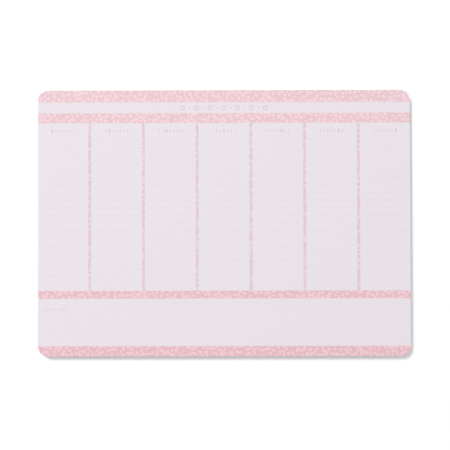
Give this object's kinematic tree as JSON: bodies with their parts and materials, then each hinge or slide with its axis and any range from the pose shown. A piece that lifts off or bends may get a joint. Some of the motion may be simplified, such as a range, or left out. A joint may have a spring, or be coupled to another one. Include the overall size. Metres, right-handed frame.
{
  "type": "magnetic weekly planner pad",
  "caption": "Landscape tear-off weekly planner pad with rounded corners, glued at its head to a greyboard, with flexible magnet strips on its back.",
  "frame": {"origin": "under the middle of the pad's footprint, on the surface that the magnet strips lie on", "axes": "+X along the long side, +Y from the foot towards the glued head, +Z out of the printed face"},
  "size_m": [0.297, 0.2124, 0.009],
  "materials": {
    "printed_paper": "uncoated matt paper, printed with pale pink bands and fine grey rules",
    "greyboard": "raw grey board, fibrous and matt",
    "padding_glue": "dried white padding glue, satin",
    "flexible_magnet": "dark brown flexible magnet, matt"
  },
  "bodies": {
    "root": {"page_block": "printed_paper", "backing_board": "greyboard", "head_glue": "padding_glue", "magnet_strip_head": "flexible_magnet", "magnet_strip_foot": "flexible_magnet"}
  },
  "joints": []
}
